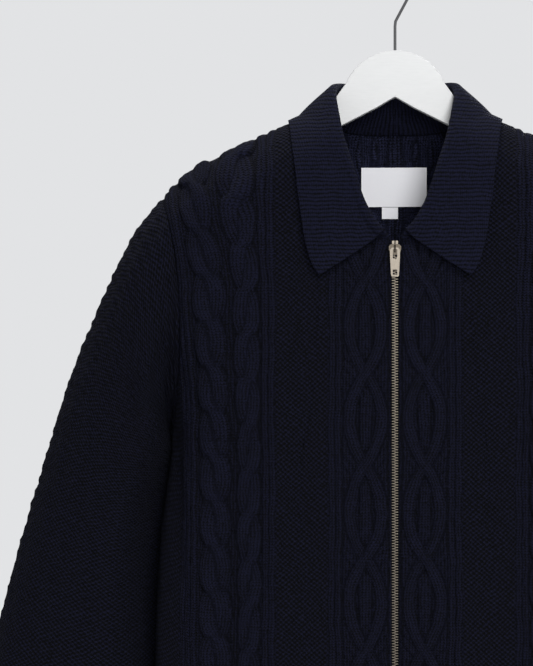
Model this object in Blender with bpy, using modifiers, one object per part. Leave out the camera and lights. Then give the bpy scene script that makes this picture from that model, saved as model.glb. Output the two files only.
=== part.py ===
"""Cable-knit zip jacket with a shirt collar, hanging on a flat wooden hanger.

Metres, +Z up. The origin is the inside top of the hanger's hook. The jacket faces -Y and its zip lies
in the plane X = 0; "left" is at -X, as seen from the front. "drop" is the distance below the origin.
"""
import math

import bmesh
import bpy
import numpy as np
from mathutils import Matrix, Vector

# ---------------------------------------------------------------- driving sizes
WALL = 0.003            # knitted cloth
GAP = 0.0003            # between two pieces at a seam
WELD = 0.00001          # points closer than this are one
STEP = 0.0004           # small step along the cloth, to find which way it faces

SHOULDER_ROUND = 0.065  # height over which the cloth turns down from the shoulder line
CROWN = 0.10            # how much less deep the body is at its side than at its centre
NECK_HALF = 0.080       # half the width of the neck at the shoulder line
TIP_DROP = 0.233        # the shoulder's outer end
UNDERARM_DROP = 0.467
HEM_DROP = 0.832
FRONT_EDGE = 0.0036     # half the gap between the fronts, which the zip chain fills

ARM_ROWS = 9            # rows of cloth from the shoulder's outer end to the underarm
BODY_ROWS = 10          # rows from the underarm to the hem
NECK_COLUMNS = 6
SHOULDER_COLUMNS = 8
SLEEVE_ROWS = 13
COLLAR_SPLIT = 3        # collar columns to each column of the body's neck edge

FOLD_RADIUS = 0.0048    # of the collar's fold, on its visible face
LEAF_CLEAR = 0.0046     # visible face of the collar's leaf, above the cloth that it lies on

LEAF_BOW = 0.03          # how far the leaf bows out, as a share of its length
LEAF_SLACK = 0.12        # and how far it drops over the neck's roll

CHAIN_HALF = 0.0032
CHAIN_THICK = 0.0030
SLIDER_TOP = 0.2800
SLIDER_LENGTH = 0.0100
BOX_LENGTH = 0.0100
STOP_LENGTH = 0.0035
BOX_PROUD = 0.0002      # the box stands before the chain
CHAIN_INSET = 0.0006    # the chain's face, behind the fronts' outer face
TAPE_WIDTH = 0.0115
TAPE_THICK = 0.0008
TAPE_TOP = 0.2815
STOP_INNER = 0.0006     # across, from the centre line
STOP_OUTER = 0.0028
STOP_INSET = 0.0008
STOP_THICK = 0.0028

PLATE_THICK = 0.0018    # slider's face plate, before the fronts
PLATE_TOP_HALF = 0.0040
PLATE_HALF = 0.0058
PLATE_FOOT_HALF = 0.0034
PLATE_CORNER = 0.0018
CORE_HALF = 0.0030      # slider's core, between the front edges
CORE_REACH = 0.0056     # back from the plate's face
HINGE_DROP = 0.0040     # pull's bar, below the slider's top
HINGE_PROUD = 0.0012    # and before the plate
BAIL_SINK = 0.0008      # bail's feet, into the plate

PULL_LENGTH = 0.0275
PULL_THICK = 0.0012
PULL_BAR = 0.0016       # height of the bar that hangs in the bail
PULL_TOP_HALF = 0.0030
PULL_HALF = 0.0047
PULL_FOOT_HALF = 0.0037
PULL_CORNER = 0.0020
PULL_WIDEST = 0.0080    # down from its top, where it starts to taper
PULL_SLOT_HALF = 0.0021
PULL_SLOT_FOOT = 0.0085
PULL_SLOT_POINT = 0.0015
PULL_WINDOW_LOW = 0.0018
PULL_WINDOW_HIGH = 0.0066
BAIL_RADIUS = 0.0030
BAIL_WIRE = 0.0008      # radius

BOARD_THICK = 0.012
WIRE_RADIUS = 0.0014
HOOK_RADIUS = 0.020     # of the wire's centre line
HOOK_NECK = 0.044       # from the hook's centre down to where the shank bends
HOOK_EASE = 0.0025      # softening of that bend
HOOK_END = 205          # degrees round from +X, where the wire ends


def table(columns, *rows):
    """A table with a name for each column."""
    return {name: np.array([row[i] for row in rows]) for i, name in enumerate(columns.split())}


# The body at levels down from the hook
TORSO = table(
    "drop   half_width corner front  back",
    (0.100, 0.3500,    0.060, 0.050, 0.046),
    (0.240, 0.3000,    0.060, 0.054, 0.048),
    (0.290, 0.2620,    0.060, 0.055, 0.049),
    (0.350, 0.2340,    0.060, 0.057, 0.050),
    (0.385, 0.2225,    0.060, 0.057, 0.051),
    (0.412, 0.2180,    0.060, 0.058, 0.051),
    (0.440, 0.2165,    0.060, 0.058, 0.052),
    (0.467, 0.2160,    0.060, 0.058, 0.052),
    (0.559, 0.2265,    0.060, 0.060, 0.054),
    (0.688, 0.2325,    0.060, 0.060, 0.054),
    (0.780, 0.2310,    0.058, 0.058, 0.052),
    (0.840, 0.2220,    0.054, 0.052, 0.047))

SHOULDER = table(
    "across drop",
    (-0.02, 0.1150),
    (0.000, 0.1150),
    (0.080, 0.1500),
    (0.120, 0.1680),
    (0.160, 0.1862),
    (0.195, 0.2045),
    (0.215, 0.2200),
    (0.226, 0.2330),
    (0.240, 0.2500))

ARMHOLE = table(
    "drop   across",
    (0.2330, 0.2260),
    (0.2546, 0.2180),
    (0.2815, 0.2116),
    (0.3130, 0.2080),
    (0.3520, 0.2070),
    (0.4000, 0.2090),
    (0.4400, 0.2130),
    (0.4670, 0.2160))

NECK_FRONT = table(
    "across drop",
    (0.000, 0.2765),
    (0.010, 0.2740),
    (0.028, 0.2620),
    (0.048, 0.2360),
    (0.062, 0.2080),
    (0.072, 0.1800),
    (0.080, 0.1500))

NECK_BACK = table(
    "across drop",
    (0.000, 0.1680),
    (0.030, 0.1672),
    (0.055, 0.1630),
    (0.072, 0.1560),
    (0.080, 0.1500))

# The sleeve's outer and inner edges as seen from the front, and half its thickness; beside the body its
# front falls back in a long deep fold, from an angle in degrees (0 outer edge, 180 inner edge)
SLEEVE = table(
    "row outer_x outer_drop inner_x inner_drop half_depth fold_from fold_depth",
    (0,  0.2260, 0.2330,    0.2160, 0.4670,    0.045,     50,       0.000),
    (1,  0.2500, 0.2620,    0.2195, 0.4750,    0.051,     70,       0.022),
    (2,  0.2720, 0.3030,    0.2180, 0.4830,    0.055,     92,       0.040),
    (3,  0.2975, 0.3600,    0.2120, 0.4940,    0.057,     104,      0.043),
    (4,  0.3180, 0.4120,    0.2110, 0.5120,    0.057,     108,      0.043),
    (5,  0.3444, 0.4970,    0.2180, 0.5540,    0.055,     104,      0.043),
    (6,  0.3690, 0.5795,    0.2235, 0.6160,    0.051,     106,      0.040),
    (7,  0.3980, 0.6900,    0.2340, 0.7180,    0.044,     115,      0.028),
    (8,  0.4110, 0.7480,    0.2600, 0.7820,    0.040,     130,      0.010),
    (9,  0.4160, 0.7950,    0.2960, 0.8220,    0.033,     130,      0.000),
    (10, 0.4200, 0.8500,    0.3130, 0.8740,    0.028,     130,      0.000))
FOLD_TURN = 42          # degrees over which the fold's front wall falls back
FOLD_BACK = 65          # degrees over which it runs out on the back
SLEEVE_BLEND = 2.5      # rows over which the armhole's curve becomes an oval

# The collar's half, from the centre back (0) through the shoulder line (0.5) to the zip (1):
# its fold, and the free edge of its leaf
COLLAR = table(
    "along fold_x  fold_y  fold_drop edge_x  edge_y  edge_drop",
    (0.00, 0.0000, 0.0400, 0.1250,   0.0000, 0.0590, 0.2140),
    (0.20, 0.0290, 0.0350, 0.1240,   0.0520, 0.0580, 0.2100),
    (0.40, 0.0516, 0.0180, 0.1256,   0.0930, 0.0420, 0.1850),
    (0.50, 0.0574, 0.0010, 0.1306,   0.1040, 0.0020, 0.1630),
    (0.60, 0.0588, -0.020, 0.1456,   0.1000, -0.034, 0.1810),
    (0.70, 0.0540, -0.038, 0.1710,   0.0950, -0.055, 0.2070),
    (0.80, 0.0425, -0.051, 0.2030,   0.0905, -0.062, 0.2430),
    (0.90, 0.0275, -0.059, 0.2420,   0.0835, -0.064, 0.2840),
    (0.96, 0.0165, -0.062, 0.2590,   0.0770, -0.064, 0.3020),
    (1.00, 0.0095, -0.063, 0.2660,   0.0715, -0.064, 0.3095))

# Hanger board's outline, right half, from the neck's round top out to the tip and back under the arm
BOARD_TOP_RADIUS = 0.052
BOARD_TOP_DROP = 0.089
BOARD = table(
    "across drop",
    (0.0577, 0.1345),
    (0.0700, 0.1510),
    (0.0850, 0.1622),
    (0.1200, 0.1745),
    (0.1600, 0.1917),
    (0.1860, 0.2055),
    (0.1940, 0.2140),
    (0.1930, 0.2230),
    (0.1840, 0.2280),
    (0.1600, 0.2165),
    (0.1200, 0.1965),
    (0.0510, 0.1615),
    (0.0180, 0.1448),
    (0.0000, 0.1343))

MATERIALS = table(
    "name            red    green  blue   metallic roughness",
    ("navy_knit",    0.010, 0.014, 0.045, 0.0, 0.95),
    ("navy_tape",    0.008, 0.010, 0.030, 0.0, 0.85),
    ("nickel",       0.620, 0.600, 0.560, 1.0, 0.30),
    ("white_satin",  0.800, 0.800, 0.840, 0.0, 0.45),
    ("white_paint",  0.820, 0.825, 0.830, 0.0, 0.35),
    ("steel_wire",   0.450, 0.450, 0.450, 1.0, 0.30))


# ---------------------------------------------------------------- scene and small helpers
def clear_scene():
    for obj in list(bpy.data.objects):
        bpy.data.objects.remove(obj, do_unlink=True)


def make_materials():
    made = {}
    for i, name in enumerate(MATERIALS["name"]):
        material = bpy.data.materials.new(str(name))
        material.use_nodes = True
        shader = material.node_tree.nodes["Principled BSDF"]
        colour = [float(MATERIALS[channel][i]) for channel in ("red", "green", "blue")]
        shader.inputs["Base Color"].default_value = (*colour, 1)
        shader.inputs["Metallic"].default_value = float(MATERIALS["metallic"][i])
        shader.inputs["Roughness"].default_value = float(MATERIALS["roughness"][i])
        made[str(name)] = material
    return made


def add_object(name, mesh, material, location=(0, 0, 0)):
    obj = bpy.data.objects.new(name, mesh)
    obj.location = location
    mesh.materials.append(material)
    part.objects.link(obj)
    return obj


def smooth(value, columns, result, given):
    """The table's result column at a value of its given column, on a curve through its rows."""
    xs = columns[given]
    ys = columns[result]
    slopes = np.gradient(ys, xs)
    i = int(np.clip(np.searchsorted(xs, value) - 1, 0, len(xs) - 2))
    width = xs[i + 1] - xs[i]
    t = (value - xs[i]) / width
    return float((2 * t**3 - 3 * t**2 + 1) * ys[i] + (t**3 - 2 * t**2 + t) * width * slopes[i]
                 + (3 * t**2 - 2 * t**3) * ys[i + 1] + (t**3 - t**2) * width * slopes[i + 1])


def quarter_length(a, b):
    """Length of a quarter of an ellipse."""
    return math.pi / 4 * (3 * (a + b) - math.sqrt((3 * a + b) * (a + 3 * b)))


# ---------------------------------------------------------------- form of the body
def shoulder_drop(x):
    return smooth(abs(x), SHOULDER, "drop", "across")


def side_length(drop, depth_name):
    """Cloth from the centre line to the side seam at a level, and its straight part."""
    half_width, corner, depth = (smooth(drop, TORSO, name, "drop")
                                 for name in ("half_width", "corner", depth_name))
    straight = half_width - corner
    return straight + quarter_length(corner, depth), straight, corner


def level_point(around, drop, depth_name):
    """x of the cloth, and how far it faces the front (1) or has turned to the side (0)."""
    length, straight, corner = side_length(drop, depth_name)
    if around <= straight:
        return around, 1.0
    turn = (around - straight) / (length - straight) * math.pi / 2
    return straight + corner * math.sin(turn), math.cos(turn)


def body_xyz(around, under, face):
    """Outer face of the body, for the side at +X. face is -1 for the front and 1 for the back; around
    is cloth from the centre line, under is cloth below the shoulder line (negative: other face)."""
    depth_name = "front" if face < 0 else "back"
    turn_length = quarter_length(SHOULDER_ROUND, 0.05)
    turn = min(abs(under) / turn_length, 1) * math.pi / 2
    below = SHOULDER_ROUND * (1 - math.cos(turn)) + max(abs(under) - turn_length, 0)
    x = abs(around)
    for _ in range(6):
        drop = shoulder_drop(x) + below
        x, facing = level_point(abs(around), drop, depth_name)
    depth = smooth(drop, TORSO, depth_name, "drop")
    depth *= 1 - CROWN * (x / smooth(drop, TORSO, "half_width", "drop")) ** 2
    y = face * math.copysign(1, under) * depth * facing * math.sin(turn)
    return Vector((math.copysign(x, around), y, -drop))


def under_at(around, drop, face):
    """Cloth below the shoulder line at a level."""
    x, _ = level_point(around, drop, "front" if face < 0 else "back")
    below = max(drop - shoulder_drop(x), 0)
    turn_length = quarter_length(SHOULDER_ROUND, 0.05)
    if below < SHOULDER_ROUND:
        return math.acos(1 - below / SHOULDER_ROUND) / (math.pi / 2) * turn_length
    return turn_length + below - SHOULDER_ROUND


def body_normal(around, under, face):
    """Which way the outer face looks."""
    across = body_xyz(around + STEP, under, face) - body_xyz(around - STEP, under, face)
    down = body_xyz(around, under + STEP, face) - body_xyz(around, under - STEP, face)
    normal = across.cross(down).normalized()
    return normal if face > 0 else -normal


def body_depth(x, drop, face):
    """y of the body's outer face at a place seen from the front."""
    side = abs(x)
    point = body_xyz(side, under_at(side, drop, face), face)
    return point.y


def armhole_around(drop, face):
    """Cloth from the centre line to the armhole or side seam at a level."""
    length, straight, corner = side_length(drop, "front" if face < 0 else "back")
    if drop >= UNDERARM_DROP:
        return length
    across = smooth(max(drop, TIP_DROP), ARMHOLE, "across", "drop")
    if across <= straight:
        return across
    turn = math.asin(min((across - straight) / corner, 1))
    return straight + turn / (math.pi / 2) * (length - straight)


def arm_angle(k):
    """Angle round the armhole at its k-th point, 0 at the shoulder and pi at the underarm."""
    return math.pi * k / ARM_ROWS


def row_share(j):
    """Share of the way from the shoulder's outer end to the hem at a row."""
    if j <= ARM_ROWS:
        drop = TIP_DROP + (UNDERARM_DROP - TIP_DROP) * (1 - math.cos(arm_angle(j))) / 2
    else:
        drop = UNDERARM_DROP + (HEM_DROP - UNDERARM_DROP) * (j - ARM_ROWS) / BODY_ROWS
    return (drop - TIP_DROP) / (HEM_DROP - TIP_DROP)


def column_across(i):
    """x at the top of a column, with the columns closer together towards the neck's corner."""
    if i <= NECK_COLUMNS:
        return NECK_HALF * math.sin(math.pi / 2 * i / NECK_COLUMNS)
    tip = ARMHOLE["across"][0]
    return NECK_HALF + (tip - NECK_HALF) * (i - NECK_COLUMNS) / SHOULDER_COLUMNS


def column_top(i, face):
    x = column_across(i)
    if i < NECK_COLUMNS:
        return smooth(x, NECK_FRONT if face < 0 else NECK_BACK, "drop", "across")
    return shoulder_drop(x)


def body_place(i, j, face):
    """(around, under) of a column and row of the panel's grid."""
    share = column_across(i) / ARMHOLE["across"][0]
    top = column_top(i, face)
    drop = top + row_share(j) * (HEM_DROP - top)
    around = share * armhole_around(drop, face)
    if face < 0:
        around = max(around, FRONT_EDGE)
    if i == NECK_COLUMNS + SHOULDER_COLUMNS:
        around -= GAP / 2
    under = under_at(around, drop, face)
    return around, max(under, GAP / 2)


# ---------------------------------------------------------------- cloth walls
def cloth_wall(name, columns, rows, place, material, tube=False):
    """A wall of cloth. place(i, j) gives a grid point on the outer face and the step through the wall."""
    bm = bmesh.new()
    through = bm.verts.layers.float_vector.new("through")
    bmesh.ops.create_grid(bm, x_segments=columns, y_segments=rows, size=0.5)
    for vert in bm.verts:
        i = round((vert.co.x + 0.5) * columns)
        j = round((vert.co.y + 0.5) * rows)
        vert.co, vert[through] = place(i, j)
    if tube:
        bmesh.ops.remove_doubles(bm, verts=bm.verts[:], dist=WELD)
    outer = bm.faces[:]
    made = bmesh.ops.extrude_face_region(bm, geom=outer, use_keep_orig=True)["geom"]
    for vert in (item for item in made if isinstance(item, bmesh.types.BMVert)):
        vert.co += vert[through]
    bmesh.ops.recalc_face_normals(bm, faces=bm.faces[:])
    mesh = bpy.data.meshes.new(name)
    bm.to_mesh(mesh)
    bm.free()
    mesh.shade_smooth()
    return add_object(name, mesh, material)


def mirrored(vector, side):
    return Vector((vector.x * side, vector.y, vector.z))


def make_front(name, side, material):
    def place(i, j):
        around, under = body_place(i, j, -1)
        inward = -WALL * body_normal(around, under, -1)
        return mirrored(body_xyz(around, under, -1), side), mirrored(inward, side)
    return cloth_wall(name, NECK_COLUMNS + SHOULDER_COLUMNS, ARM_ROWS + BODY_ROWS, place, material)


def make_back(material):
    half = NECK_COLUMNS + SHOULDER_COLUMNS

    def place(i, j):
        side = -1 if i < half else 1
        around, under = body_place(abs(i - half), j, 1)
        if j > ARM_ROWS and abs(i - half) == half:
            around -= GAP
        inward = -WALL * body_normal(around, under, 1)
        return mirrored(body_xyz(around, under, 1), side), mirrored(inward, side)
    return cloth_wall("back", 2 * half, ARM_ROWS + BODY_ROWS, place, material)


# ---------------------------------------------------------------- sleeves
def armhole_xyz(angle):
    """Point on the armhole at an angle, 0 at the shoulder, pi at the underarm, front first."""
    face = -1 if angle <= math.pi else 1
    drop = TIP_DROP + (UNDERARM_DROP - TIP_DROP) * (1 - math.cos(angle)) / 2
    around = armhole_around(drop, face)
    under = max(under_at(around, drop, face), GAP / 2)
    return body_xyz(around, under, face), body_normal(around, under, face)


def ease(share):
    """Soft step from 0 to 1."""
    share = min(max(share, 0), 1)
    return share * share * (3 - 2 * share)


def sleeve_oval(row, angle):
    """Point on the sleeve's oval sections, at a row of its table."""
    at = {name: smooth(row, SLEEVE, name, "row") for name in SLEEVE}
    outer = Vector((at["outer_x"], 0, -at["outer_drop"]))
    inner = Vector((at["inner_x"], 0, -at["inner_drop"]))
    middle = (outer + inner) / 2
    degrees = math.degrees(angle) % 360
    folded = ease((degrees - at["fold_from"]) / FOLD_TURN) * ease((180 + FOLD_BACK - degrees) / FOLD_BACK)
    y = at["fold_depth"] * folded - at["half_depth"] * math.sin(angle)
    return middle + (outer - middle) * math.cos(angle) + Vector((0, y, 0))


def sleeve_xyz(row, angle):
    """The sleeve leaves the armhole's own curve and becomes oval over its first rows."""
    point = sleeve_oval(row, angle)
    blend = ease(1 - row / SLEEVE_BLEND)
    if blend:
        edge, _ = armhole_xyz(angle % (2 * math.pi))
        point += (edge - sleeve_oval(0, angle)) * blend
    return point


def sleeve_normal(row, angle):
    low, high = max(row - 0.02, 0), row + 0.02
    along = sleeve_xyz(high, angle) - sleeve_xyz(low, angle)
    around = sleeve_xyz(row, angle + 0.01) - sleeve_xyz(row, angle - 0.01)
    return around.cross(along).normalized()


def make_sleeve(name, side, material):
    last = SLEEVE["row"][-1]

    def place(i, j):
        angle = arm_angle(i % (2 * ARM_ROWS))
        row = last * j / SLEEVE_ROWS
        point = sleeve_xyz(row, angle)
        normal = sleeve_normal(row, angle)
        if j == 0:
            edge, body_faces = armhole_xyz(angle)
            level = min(max((normal.dot(body_faces) - 0.5) / 0.4, 0), 1)
            normal = normal.lerp(body_faces, level).normalized()
            point = edge + Vector((GAP, 0, 0))
        return mirrored(point, side), mirrored(-WALL * normal, side)
    return cloth_wall(name, 2 * ARM_ROWS, SLEEVE_ROWS, place, material, tube=True)


# ---------------------------------------------------------------- collar
def neck_corner(i, face):
    """Outer and inner corner of the body's neck edge at a column."""
    around, under = body_place(i, 0, face)
    outer = body_xyz(around, under, face)
    return outer, outer - WALL * body_normal(around, under, face)


def neck_edge(place):
    """The same at a place between two columns, from the centre back (0) to the zip."""
    first = min(int(place), 2 * NECK_COLUMNS - 1)
    ends = []
    for i in (first, first + 1):
        face = 1 if i <= NECK_COLUMNS else -1
        ends.append(neck_corner(i if face > 0 else 2 * NECK_COLUMNS - i, face))
    return (ends[0][k].lerp(ends[1][k], place - first) for k in (0, 1))


def clear_of_body(point, clear):
    """The point, moved out to lie at least that far from the body's outer face."""
    below = -point.z - shoulder_drop(point.x)
    face = -1 if point.y < 0 else 1
    if below >= SHOULDER_ROUND:
        depth = abs(body_depth(point.x, -point.z, face)) + clear
        return Vector((point.x, face * max(abs(point.y), depth), point.z))
    deep = smooth(-point.z, TORSO, "front" if face < 0 else "back", "drop")
    up = SHOULDER_ROUND - below
    reach = math.hypot(up / (SHOULDER_ROUND + clear), point.y / (deep + clear))
    if reach >= 1 or reach == 0:
        return point
    turn = math.atan2(abs(point.y) / deep, up / SHOULDER_ROUND)
    height = (SHOULDER_ROUND + clear) * math.cos(turn)
    return Vector((point.x, face * (deep + clear) * math.sin(turn),
                   -(shoulder_drop(point.x) + SHOULDER_ROUND) + height))


def collar_section(place):
    """Visible face of the collar at a place: up the stand, round the fold and down the leaf."""
    along = 0.5 * place / NECK_COLUMNS
    outer, inner = neck_edge(place)
    values = {name: smooth(along, COLLAR, name, "along") for name in COLLAR}
    fold = Vector((values["fold_x"], values["fold_y"], -values["fold_drop"]))
    edge = Vector((values["edge_x"], values["edge_y"], -values["edge_drop"]))
    ahead, behind = (Vector([smooth(min(max(along + step, 0), 1), COLLAR, name, "along") * sign
                             for name, sign in (("fold_x", 1), ("fold_y", 1), ("fold_drop", -1))])
                     for step in (0.02, -0.02))
    run = (ahead - behind).normalized()
    up = fold - inner
    up = (up - run * up.dot(run)).normalized()
    out = up.cross(run).normalized()
    lift = GAP * (fold - inner).normalized()
    points = [(inner + lift, outer - inner)]
    points.append((inner.lerp(fold, 0.55), out * WALL))
    centre = fold + out * FOLD_RADIUS
    for turn in (0, 60, 120, 180):
        ray = -out * math.cos(math.radians(turn)) + up * math.sin(math.radians(turn))
        points.append((centre + ray * FOLD_RADIUS, -ray * WALL))
    leaf_top = centre + out * FOLD_RADIUS
    length = (edge - leaf_top).length
    for share in (0.33, 0.66, 1.0):
        bowed = leaf_top.lerp(edge, share) + out * length * LEAF_BOW * math.sin(math.pi * share)
        bowed -= up * length * LEAF_SLACK * (share - ease(share))
        placed = clear_of_body(bowed, LEAF_CLEAR)
        points.append((placed, None))
    for k in (6, 7, 8):
        placed = points[k][0]
        slope = (points[min(k + 1, 8)][0] - points[k - 1][0]).normalized()
        normal = run.cross(slope).normalized()
        if normal.dot(out) < 0:
            normal = -normal
        points[k] = (placed, -normal * WALL)
    return points


def make_collar(material):
    half = 2 * NECK_COLUMNS * COLLAR_SPLIT
    sections = [collar_section(i / COLLAR_SPLIT) for i in range(half + 1)]

    def place(i, j):
        side = -1 if i < half else 1
        point, through = sections[abs(i - half)][j]
        return mirrored(point, side), mirrored(through, side)
    return cloth_wall("collar", 2 * half, len(sections[0]) - 1, place, material)


# ---------------------------------------------------------------- zip
def front_y(drop):
    """y of the jacket's outer face on the zip's line."""
    return body_depth(FRONT_EDGE, drop, -1)


def zip_band(name, x_low, x_high, drop_low, drop_high, inset, thick, material, rows=24):
    """A flat band that follows the front edges, set back behind the outer face."""
    def place(i, j):
        drop = drop_low + (drop_high - drop_low) * j / rows
        x = x_low + (x_high - x_low) * i / 2
        return Vector((x, front_y(drop) + inset, -drop)), Vector((0, thick, 0))
    return cloth_wall(name, 2, rows, place, material)


def flat_outline(name, loops, thickness, material, location=(0, 0, 0), bevel=0):
    """A plate in the XZ plane from outlines in metres; the first is its edge and the rest are holes."""
    curve = bpy.data.curves.new(name, "CURVE")
    curve.dimensions = "2D"
    curve.fill_mode = "BOTH"
    curve.extrude = thickness / 2
    for loop in loops:
        spline = curve.splines.new("POLY")
        spline.points.add(len(loop) - 1)
        for point, (x, z) in zip(spline.points, loop):
            point.co = (x, z, 0, 1)
        spline.use_cyclic_u = True
    flat = bpy.data.objects.new(name, curve)
    part.objects.link(flat)
    mesh = bpy.data.meshes.new_from_object(flat.evaluated_get(bpy.context.evaluated_depsgraph_get()))
    bpy.data.objects.remove(flat)
    bm = bmesh.new()
    bm.from_mesh(mesh)
    bmesh.ops.remove_doubles(bm, verts=bm.verts[:], dist=WELD)
    bmesh.ops.rotate(bm, verts=bm.verts[:], matrix=Matrix.Rotation(math.pi / 2, 3, "X"))
    bmesh.ops.recalc_face_normals(bm, faces=bm.faces[:])
    bm.to_mesh(mesh)
    bm.free()
    mesh.materials.clear()
    obj = add_object(name, mesh, material, location)
    if bevel:
        edge = obj.modifiers.new("rounded edges", "BEVEL")
        edge.width = bevel
        edge.segments = 2
        edge.limit_method = "ANGLE"
        edge.angle_limit = math.radians(50)
    return obj


def arc(centre, radius, start, end, steps):
    """Points on an arc, in degrees from +X."""
    angles = [math.radians(start + (end - start) * k / steps) for k in range(steps + 1)]
    return [(centre[0] + radius * math.cos(a), centre[1] + radius * math.sin(a)) for a in angles]


def wire(name, points, radius, material, resolution=2):
    """A round wire along points, as a mesh with welded caps."""
    curve = bpy.data.curves.new(name, "CURVE")
    curve.dimensions = "3D"
    curve.bevel_depth = radius
    curve.bevel_resolution = resolution
    curve.use_fill_caps = True
    spline = curve.splines.new("POLY")
    spline.points.add(len(points) - 1)
    for point, place in zip(spline.points, points):
        point.co = (*place, 1)
    bent = bpy.data.objects.new(name, curve)
    part.objects.link(bent)
    mesh = bpy.data.meshes.new_from_object(bent.evaluated_get(bpy.context.evaluated_depsgraph_get()))
    bpy.data.objects.remove(bent)
    bm = bmesh.new()
    bm.from_mesh(mesh)
    bmesh.ops.remove_doubles(bm, verts=bm.verts[:], dist=WELD)
    bmesh.ops.recalc_face_normals(bm, faces=bm.faces[:])
    bm.to_mesh(mesh)
    bm.free()
    mesh.materials.clear()
    return add_object(name, mesh, material)


def box(name, low, high, material):
    bm = bmesh.new()
    bmesh.ops.create_cube(bm, size=1)
    size = Vector(high) - Vector(low)
    bmesh.ops.scale(bm, verts=bm.verts[:], vec=size)
    bmesh.ops.translate(bm, verts=bm.verts[:], vec=(Vector(low) + Vector(high)) / 2)
    mesh = bpy.data.meshes.new(name)
    bm.to_mesh(mesh)
    bm.free()
    return add_object(name, mesh, material)


def join_into(obj, other):
    """Boolean union of a second piece into the first."""
    union = obj.modifiers.new("union " + other.name, "BOOLEAN")
    union.operation = "UNION"
    union.object = other
    other.hide_render = True
    other.display_type = "WIRE"
    part.objects.unlink(other)
    cutters.objects.link(other)


PLATE_FRONT = front_y(SLIDER_TOP) - GAP - PLATE_THICK
HINGE = Vector((0, PLATE_FRONT - HINGE_PROUD, -(SLIDER_TOP + HINGE_DROP)))


def symmetric(right):
    """An outline from its right half, given from the top down."""
    return right + [(-x, z) for x, z in reversed(right)]


def make_slider(material):
    """A shield-shaped plate with a core between the front edges, and a bail on its face."""
    top = -SLIDER_TOP
    foot = top - SLIDER_LENGTH
    corner = PLATE_CORNER / 2
    right = [(PLATE_TOP_HALF, top), (PLATE_HALF, top - PLATE_CORNER), (PLATE_HALF, top - SLIDER_LENGTH / 2)]
    right += [(PLATE_FOOT_HALF + corner, foot + corner), (PLATE_FOOT_HALF, foot)]
    plate_middle = PLATE_FRONT + PLATE_THICK / 2
    plate = flat_outline("zip_slider", [symmetric(right)], PLATE_THICK, material, (0, plate_middle, 0))
    core = box("slider_core", (-CORE_HALF, plate_middle, foot + GAP),
               (CORE_HALF, PLATE_FRONT + CORE_REACH, top - GAP), material)
    bail_arc = arc((PLATE_FRONT - HINGE_PROUD / 2, HINGE.z), BAIL_RADIUS, 110, 250, 8)
    bail_line = [(PLATE_FRONT + BAIL_SINK, HINGE.z + BAIL_RADIUS)] + bail_arc
    bail_line += [(PLATE_FRONT + BAIL_SINK, HINGE.z - BAIL_RADIUS)]
    bail = wire("slider_bail", [(0, y, z) for y, z in bail_line], BAIL_WIRE, material)
    join_into(plate, core)
    join_into(plate, bail)
    return plate


def make_pull(material):
    """A tapered tab with a keyhole for the bail and a window at its foot, hanging from its bar."""
    top = PULL_BAR / 2
    foot = top - PULL_LENGTH
    corner = PULL_CORNER / 2
    outline = symmetric([(PULL_TOP_HALF, top), (PULL_HALF, top - PULL_CORNER), (PULL_HALF, top - PULL_WIDEST),
                         (PULL_FOOT_HALF, foot + corner), (PULL_TOP_HALF, foot)])
    keyhole = symmetric([(PULL_SLOT_HALF, -top), (PULL_SLOT_HALF, -PULL_SLOT_FOOT),
                         (PULL_SLOT_HALF / 2, -PULL_SLOT_FOOT - PULL_SLOT_POINT)])
    window = symmetric([(PULL_SLOT_HALF, foot + PULL_WINDOW_HIGH), (PULL_SLOT_HALF, foot + PULL_WINDOW_LOW)])
    return flat_outline("zip_pull_tab", [outline, keyhole, window], PULL_THICK, material, HINGE)


def make_zip(metal, tape):
    for side, word in ((-1, "left"), (1, "right")):
        inner = CHAIN_HALF + GAP
        across = sorted((side * inner, side * (inner + TAPE_WIDTH)))
        zip_band("zip_tape_" + word, *across, TAPE_TOP, HEM_DROP - GAP, WALL + GAP, TAPE_THICK, tape)
        across = sorted((side * STOP_INNER, side * STOP_OUTER))
        y = front_y(SLIDER_TOP) + STOP_INSET
        box("zip_stop_" + word, (across[0], y, -(SLIDER_TOP - GAP)),
            (across[1], y + STOP_THICK, -(SLIDER_TOP - STOP_LENGTH)), metal)
    chain_top = SLIDER_TOP + SLIDER_LENGTH + GAP
    box_top = HEM_DROP - BOX_LENGTH
    zip_band("zip_chain", -CHAIN_HALF, CHAIN_HALF, chain_top, box_top - GAP, CHAIN_INSET, CHAIN_THICK, metal)
    zip_band("zip_box", -CHAIN_HALF, CHAIN_HALF, box_top, HEM_DROP - GAP,
             CHAIN_INSET - BOX_PROUD, CHAIN_THICK + 2 * BOX_PROUD, metal, rows=2)
    make_slider(metal)
    make_pull(metal)


# ---------------------------------------------------------------- labels
def make_label(name, centre_x, half_width, top, bottom, thick, material):
    """A flat label on the inner face of the back, made from the back's points moved in."""
    def place(i, j):
        x = centre_x + half_width * (i / 4 - 1)
        drop = top + (bottom - top) * j / 4
        under = under_at(abs(x), drop, 1)
        outer = body_xyz(abs(x), under, 1)
        facing = body_normal(abs(x), under, 1)
        side = -1 if x < 0 else 1
        inner = mirrored(outer - (WALL + 2 * GAP) * facing, side)
        return inner, mirrored(-thick * facing, side)
    return cloth_wall(name, 8, 4, place, material)


# ---------------------------------------------------------------- hanger
def make_board(material):
    centre = (0, -(BOARD_TOP_DROP + BOARD_TOP_RADIUS))
    right = [(x, -drop) for x, drop in zip(BOARD["across"], BOARD["drop"])]
    left = [(-x, z) for x, z in right[-2::-1]]
    outline = arc(centre, BOARD_TOP_RADIUS, 158, 22, 14) + right + left
    return flat_outline("hanger_board", [outline], BOARD_THICK, material, bevel=0.0025)


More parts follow.
